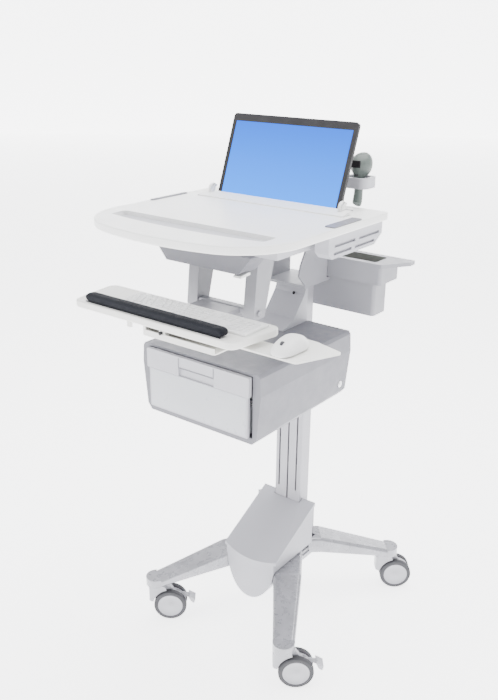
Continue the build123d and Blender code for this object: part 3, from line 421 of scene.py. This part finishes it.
# ---------------------------------------------------------------- keyboard
def keyboard():
    """A low case with rows of dished keycaps: letters, an arrow block and a number pad."""
    low, high = corner_box("keyboard")
    rim = 7 * MM
    top = high.z
    case = bmesh.new()
    add_box(case, low, (high.x, high.y, top - 2.2 * MM), 2.0 * MM)
    finish_piece("keyboard_case", case, WHITE, "tray", ["keyboard"])
    keys = bmesh.new()
    rows = 6
    pitch = (high.y - low.y - 2 * rim) / rows
    wide = high.x - low.x - 2 * rim
    unit = wide / 22.4
    layout = [
        [1.25, 1.25, 1.25, 6.25, 1.25, 1.25, 1.25, 1.25],
        [2.25] + [1] * 10 + [2.75],
        [1.75] + [1] * 11 + [2.25],
        [1.5] + [1] * 12 + [1.5],
        [1] * 13 + [2],
        # a negative width is a gap
        [1] + [-0.5] + [1] * 4 + [-0.25] + [1] * 4 + [-0.25] + [1] * 4,
    ]
    gap = 1.3 * MM

    def cap(x0, x1, y0, y1):
        height = top + 0.2 * MM
        corners = [(x0, y0), (x1, y0), (x1, y1), (x0, y1)]
        foot = [keys.verts.new((x, y, top - 2.6 * MM)) for x, y in corners]
        draw = 1.6 * MM
        cx, cy = (x0 + x1) / 2, (y0 + y1) / 2

        def inset(across, back, level):
            return [keys.verts.new((x + math.copysign(draw * across, cx - x),
                                    y + math.copysign(draw * back, cy - y), level)) for x, y in corners]

        head = inset(1.0, 0.8, height)
        dish = inset(2.2, 1.8, height - 0.45 * MM)
        for i in range(4):
            j = (i + 1) % 4
            keys.faces.new((foot[i], foot[j], head[j], head[i]))
            keys.faces.new((head[i], head[j], dish[j], dish[i]))
        keys.faces.new(dish)

    for row, widths in enumerate(layout):
        y0 = low.y + rim + row * pitch
        x = low.x + rim
        for width in widths:
            if width > 0:
                cap(x + gap / 2, x + width * unit - gap / 2, y0 + gap / 2, y0 + pitch - gap / 2)
            x += abs(width) * unit
    block = low.x + rim + 15.3 * unit
    for row in range(rows):
        y0 = low.y + rim + row * pitch
        columns = {0: (0, 1, 2), 1: (1,), 2: (), 3: (0, 1, 2), 4: (0, 1, 2), 5: (0, 1, 2)}[row]
        for column in columns:
            x = block + column * unit
            cap(x + gap / 2, x + unit - gap / 2, y0 + gap / 2, y0 + pitch - gap / 2)
    pad = block + 3.3 * unit
    for row in range(rows - 1):
        y0 = low.y + rim + row * pitch
        for column in range(4):
            x = pad + column * unit * 0.95
            cap(x + gap / 2, x + unit * 0.95 - gap / 2, y0 + gap / 2, y0 + pitch - gap / 2)
    finish_piece("keycaps", keys, KEYCAP, "tray")


keyboard()


# ---------------------------------------------------------------- mouse
def mouse():
    """A palm-shaped shell with a scroll wheel."""
    low, high = corner_box("mouse")
    middle = (low + high) / 2
    size = high - low
    shell = bmesh.new()
    rings, steps = 14, 40
    layers = []
    for i in range(rings + 1):
        t = i / rings
        height = math.sin(t * math.pi / 2) ** 0.8
        spread = math.cos(t * math.pi / 2) ** 0.55 if i < rings else 0
        ring = []
        for j in range(steps):
            turn = 2 * math.pi * j / steps
            x = math.copysign(abs(math.cos(turn)) ** 0.8, math.cos(turn)) * size.x / 2 * spread
            y = math.copysign(abs(math.sin(turn)) ** 0.85, math.sin(turn)) * size.y / 2 * spread
            waist = 1 - 0.09 * math.exp(-((y + 0.010) / 0.022) ** 2)
            hump = 1 - 0.30 * ((y - 0.012) / (size.y / 2)) ** 2
            ring.append((middle.x + x * waist, middle.y + y, low.z + size.z * height * max(0.35, hump)))
        layers.append(ring)
    rows = [[shell.verts.new(p) for p in ring] for ring in layers[:-1]]
    crown = shell.verts.new((middle.x, middle.y, layers[-1][0][2]))
    for first, second in zip(rows, rows[1:]):
        for j in range(steps):
            after = (j + 1) % steps
            shell.faces.new((first[j], first[after], second[after], second[j]))
    for j in range(steps):
        shell.faces.new((rows[-1][j], rows[-1][(j + 1) % steps], crown))
    shell.faces.new(list(reversed(rows[0])))
    finish_piece("mouse_shell", shell, WHITE, "pointer", ["mouse"], level=1)
    wheel = bmesh.new()
    centre = (middle.x, middle.y - size.y * 0.27, low.z + size.z * 0.72)
    add_lathe(wheel, centre, (1, 0, 0), [(0, -3 * MM), (5.6 * MM, -3 * MM), (6.4 * MM, -2 * MM),
                                         (6.4 * MM, 2 * MM), (5.6 * MM, 3 * MM), (0, 3 * MM)], 28)
    finish_piece("mouse_wheel", wheel, TYRE, "pointer")


mouse()


# ---------------------------------------------------------------- scanner
def scanner():
    """A hand-held reader: a rounded head that overhangs a curved, tapering handle with a trigger."""
    low, high = corner_box("scanner")
    x = low.x + (high.x - low.x) * 0.48
    y = 0.026
    gun = bmesh.new()
    # rows are (offset in y, height, half-width, half-depth)
    grip = [(-5, 1272, 10, 12), (-3, 1274, 12, 14), (-1, 1282, 12.5, 14), (1, 1296, 11.5, 12.5),
            (2, 1312, 11, 12), (2, 1330, 11.5, 12.5), (2, 1343, 13, 14.5), (4, 1350, 18, 22),
            (6, 1356, 24, 28), (8, 1366, 28, 32), (9, 1378, 29, 33), (8, 1390, 26, 30), (5, 1398, 18, 22),
            (4, 1401.5, 6, 8)]
    add_tube(gun, [(x, y + dy * MM, z * MM) for dy, z, _, _ in grip],
             [(wide * MM, deep * MM) for _, _, wide, deep in grip], 32)
    finish_piece("scanner_body", gun, READER, "reader", ["scanner"], level=1)
    window = bmesh.new()
    add_box(window, (x - 0.016, y - 0.0262, 1.370), (x + 0.016, y - 0.0228, 1.388), 1.2 * MM)
    finish_piece("scanner_window", window, BLACK, "reader")
    trigger = bmesh.new()
    add_box(trigger, (x - 0.005, y - 0.0150, 1.347), (x + 0.005, y - 0.0100, 1.362), 1.6 * MM)
    finish_piece("scanner_trigger", trigger, TYRE, "reader")


scanner()


# ---------------------------------------------------------------- small fittings, and painted shade in the column's slots, the handle's recess and the bin
def ledge_hooks():
    """Arched hooks that stand over the ledge's ends and hold the open lid."""
    for side, sign in (("left", -1), ("right", 1)):
        low, high = corner_box(f"laptop_clip_{side}")
        x = (low.x + high.x) / 2
        y, z = low.y, low.z
        path = [(x - 0.001 * sign, y + 0.002, z + 0.001), (x, y - 0.004, z + 0.010),
                (x, y + 0.001, z + 0.018), (x, y + 0.010, z + 0.0225), (x, y + 0.018, z + 0.021),
                (x, y + 0.0225, z + 0.016)]
        hook = bmesh.new()
        add_tube(hook, path, [(4.6 * MM, 2.0 * MM)] * len(path), 16)
        finish_piece(f"hook_{side}", hook, WHITE, f"clip_{side}", level=1)


def slot_shadows():
    """Painted shadow: dark strips behind the column's three slots, carried by the inner mast."""
    low, high = corner_box("mast")
    strips = bmesh.new()
    pitch, side_head = 0.031, 0.774
    for x, head in ((-pitch, side_head), (0, high.z - 0.012), (pitch, side_head)):
        add_box(strips, (x - 0.0024, low.y - 0.0012, low.z + 0.002), (x + 0.0024, low.y - 0.0002, head),
                0.2 * MM, segments=1)
    # the strips are painted shadow in the slots, not a part of the column
    finish_piece("slot_painted_shadows", strips, SLOT_SHADOW, "head")


def pivots():
    """Capped screws at both ends of the arms' shafts, and the button on the wedge."""
    cap = [(0, 0), (7.2, 0), (8.0, 0.8), (8.0, 2.4), (7.0, 3.4), (3.6, 3.7), (3.2, 2.6), (0, 2.4)]
    arm_face, stretch = 0.1084, 1.25
    for name, body, y, z in (("arm_pivot_caps", "head", -0.300, 1.190),
                             ("tray_pivot_caps", "tray_carrier", -0.331, 1.052)):
        caps = bmesh.new()
        for sign in (-1, 1):
            add_lathe(caps, (sign * arm_face, y, z), (sign, 0, 0),
                      [(r * MM, d * stretch * MM) for r, d in cap], 28)
        finish_piece(name, caps, PAINT, body)
    button = bmesh.new()
    out = Vector((0, -1, 0.4)).normalized()
    add_lathe(button, Vector((0.018, -0.043, 1.019)) + out * 0.0055, out,
              [(0, 0), (4.6 * MM, 0), (4.6 * MM, 1.2 * MM), (3.4 * MM, 2.2 * MM), (0, 2.6 * MM)], 24)
    finish_piece("wedge_button", button, BLACK, "head")


def handle_floor():
    """Painted shade: a grey, grained sheet on the floor of the handle's recess, behind the finger slot."""
    floor, reach, back, corner = 1.2670, 0.229, -0.4355, -0.4570
    half, lip, bow = 220, -457.5, 21.0
    rear = [(reach, back), (-reach, back)]
    front = [(x / 1000, (lip - bow * (1 - (x / half) ** 2)) / 1000) for x in range(-half, half + 1, 20)]
    edge = [(-reach, corner)] + front + [(reach, corner)]
    shade_patch = bmesh.new()
    add_outline(shade_patch, [Vector((x, y, floor)) for x, y in rear + edge], (0, 0, 0.0005))
    # the grey sheet is painted shade in the recess of the white worksurface
    finish_piece("handle_recess_shade", shade_patch, LIGHT, "head")


def bin_inner_shade():
    """Painted shade: a dark sheet over the bin's inner faces, darker than its outside."""
    low, high = Vector((-0.0030, 0.0650, 0.9660)), Vector((0.2060, 0.1300, 1.1155))
    shade_sheet = bmesh.new()
    rim = [(low.x, low.y), (high.x, low.y), (high.x, high.y), (low.x, high.y)]
    steps = 6
    corners = []
    radius = 7.5 * MM
    for (x, y), start in zip(rim, (180, 270, 0, 90)):
        cx = x + math.copysign(radius, (low.x + high.x) / 2 - x)
        cy = y + math.copysign(radius, (low.y + high.y) / 2 - y)
        corners += arc((cx, cy), radius, start, start + 90, steps)
    inner = [(low.x + high.x) / 2, (low.y + high.y) / 2]

    def ring(height, shrink):
        return [shade_sheet.verts.new((inner[0] + (x - inner[0]) * shrink,
                                 inner[1] + (y - inner[1]) * shrink, height)) for x, y in corners]

    thickness, shrink = 0.0006, 0.990
    rings = ring(high.z, 1.0), ring(low.z, 1.0)
    inside = ring(low.z + thickness, shrink), ring(high.z, shrink)
    for first, second in ((rings[0], rings[1]), (inside[0], inside[1])):
        for i in range(len(corners)):
            j = (i + 1) % len(corners)
            shade_sheet.faces.new((first[i], second[i], second[j], first[j]))
    shade_sheet.faces.new(rings[1])
    shade_sheet.faces.new(inside[0])
    for i in range(len(corners)):
        j = (i + 1) % len(corners)
        shade_sheet.faces.new((rings[0][i], rings[0][j], inside[1][j], inside[1][i]))
    # the dark sheet is painted shade inside the bin
    finish_piece("bin_inner_shade", shade_sheet, BIN_SHADE, "waste")


def drawer_trim():
    """The frosted panel on the drawer's front and the raised rim of its pull."""
    low, high = corner_box("drawer_front")
    panel = bmesh.new()
    inset = 0.010
    add_box(panel, (low.x + inset, low.y + 0.0022, low.z + 0.004),
            (high.x - inset, low.y + 0.0042, low.z + 0.108), 0.8 * MM)
    finish_piece("drawer_panel", panel, PANEL, "drawer")
    pull = bmesh.new()
    front, rear, foot, rim = low.y - 0.0010, low.y + 0.0006, high.z - 0.030, 0.5 * MM
    add_box(pull, (-0.057, front, foot), (0.057, rear, high.z - 0.027), rim)
    for x in (-0.0580, 0.0560):
        add_box(pull, (x, front, foot), (x + 0.002, rear, high.z - 0.003), rim)
    finish_piece("drawer_pull", pull, GREY, "drawer")


ledge_hooks()
slot_shadows()
pivots()
handle_floor()
bin_inner_shade()
drawer_trim()


# ---------------------------------------------------------------- camera, floor and light
def aim_camera():
    """The view from the front right, above the worksurface."""
    stand, yaw, down, roll = (1.2460, -1.8621, 1.6861), 37.5, 22.39, 0.52
    eye = bpy.data.cameras.new("camera")
    eye.sensor_width = 36
    eye.lens = 42.2
    eye.shift_x = 0.0039
    eye.shift_y = 0.0299
    eye.clip_end = 60
    camera = bpy.data.objects.new("camera", eye)
    bpy.context.scene.collection.objects.link(camera)
    turn = (Matrix.Rotation(math.radians(yaw), 4, "Z") @ Matrix.Rotation(math.radians(90 - down), 4, "X")
            @ Matrix.Rotation(math.radians(roll), 4, "Z"))
    camera.matrix_world = Matrix.Translation(stand) @ turn
    bpy.context.scene.camera = camera


def lamp(name, place, target, size, power):
    """A soft square light aimed at a point."""
    light = bpy.data.lights.new(name, "AREA")
    light.shape = "SQUARE"
    light.size = size
    light.energy = power
    holder = bpy.data.objects.new(name, light)
    holder.location = place
    aim = Vector(target) - Vector(place)
    holder.rotation_euler = aim.to_track_quat("-Z", "Y").to_euler()
    bpy.context.scene.collection.objects.link(holder)


def studio():
    """A pale floor and back wall, and soft light from above, the left and the right."""
    floor = bmesh.new()
    bmesh.ops.create_grid(floor, x_segments=1, y_segments=1, size=90)
    away = Vector((-0.609, 0.793, 0))
    along = Vector((0.793, 0.609, 0))
    wall = [away * 13 + along * reach + Vector((0, 0, rise)) for reach, rise in
            ((-16, 0), (16, 0), (16, 7), (-16, 7))]
    floor.faces.new([floor.verts.new(corner) for corner in wall])
    data = bpy.data.meshes.new("studio_floor")
    floor.to_mesh(data)
    floor.free()
    ground = bpy.data.objects.new("studio_floor", data)
    bpy.context.scene.collection.objects.link(ground)
    pale = bpy.data.materials.new("studio_floor")
    pale.use_nodes = True
    shader = pale.node_tree.nodes["Principled BSDF"]
    for key, value in (("Base Color", (0.93, 0.93, 0.935, 1)), ("Roughness", 0.95),
                       ("Specular IOR Level", 0.0), ("Emission Color", (1, 1, 1, 1)),
                       ("Emission Strength", 3.2)):
        shader.inputs[key].default_value = value
    data.materials.append(pale)
    world = bpy.data.worlds.new("studio")
    world.use_nodes = True
    world.node_tree.nodes["Background"].inputs["Color"].default_value = (0.97, 0.975, 1.0, 1)
    world.node_tree.nodes["Background"].inputs["Strength"].default_value = 1.3
    bpy.context.scene.world = world
    lamp("key", (-1.6, -2.6, 3.4), (0, -0.2, 0.8), 2.2, 70)
    lamp("fill", (2.8, -1.4, 1.6), (0, -0.2, 0.8), 2.4, 6)
    lamp("top", (0.2, 0.4, 3.6), (0, -0.2, 0.6), 2.6, 170)


aim_camera()
studio()
